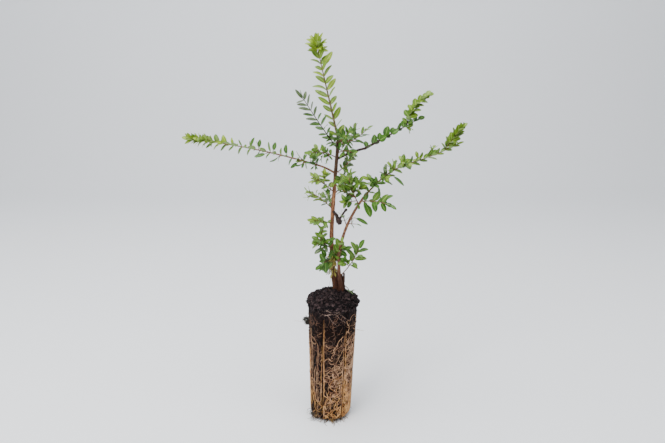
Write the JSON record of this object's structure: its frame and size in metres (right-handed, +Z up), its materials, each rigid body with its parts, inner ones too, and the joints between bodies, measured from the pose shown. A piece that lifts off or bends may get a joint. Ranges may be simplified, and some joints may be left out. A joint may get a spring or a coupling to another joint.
{
  "type": "box honeysuckle plug plant",
  "caption": "Young small-leaved evergreen shrub with two slender stems, long arching side shoots and a tapering, ribbed, root-bound compost plug that it stands on.",
  "frame": {"origin": "centre of the root ball's flat underside", "axes": "+Z up along the root ball and the trunk, +X towards the two long right-hand shoots, -Y towards the viewer of the fuller side"},
  "size_m": [0.2647, 0.0793, 0.3901],
  "materials": {
    "root_ball": "matte, moist compost bound by tan roots",
    "old_bark": "reddish brown flaking bark",
    "young_bark": "smooth purple-brown young bark",
    "dead_wood": "dry, dark, wrinkled dead wood",
    "new_leaves": "satin yellow-green new leaves",
    "mid_leaves": "glossy mid-green leaves",
    "old_leaves": "glossy dark green leaves"
  },
  "bodies": {
    "root": {"back_right_spray": "old_leaves", "base_back_spray": "old_leaves", "base_front_spray": "old_leaves", "base_left_spray": "old_leaves", "base_right_spray": "old_leaves", "crown_back_spray": "old_leaves", "crown_front_spray": "mid_leaves", "crown_low_spray": "mid_leaves", "crown_right_spray": "mid_leaves", "fork_spray": "mid_leaves", "inner_left_spray": "mid_leaves", "inner_right_spray": "mid_leaves", "leader_spray": "new_leaves", "left_bough": "young_bark", "left_spray": "new_leaves", "low_left_lower_spray": "old_leaves", "low_left_upper_spray": "mid_leaves", "lower_right_spray": "mid_leaves", "mid_back_spray": "old_leaves", "mid_left_lower_spray": "mid_leaves", "mid_left_upper_spray": "mid_leaves", "pruned_stub": "dead_wood", "right_bough": "young_bark", "right_spray": "mid_leaves", "root_ball": "root_ball", "second_stem": "young_bark", "second_stem_side_spray": "mid_leaves", "second_stem_spray": "mid_leaves", "trunk": "old_bark", "trunk_front_spray": "mid_leaves", "under_spray": "old_leaves", "upper_left_spray": "mid_leaves"}
  },
  "joints": []
}
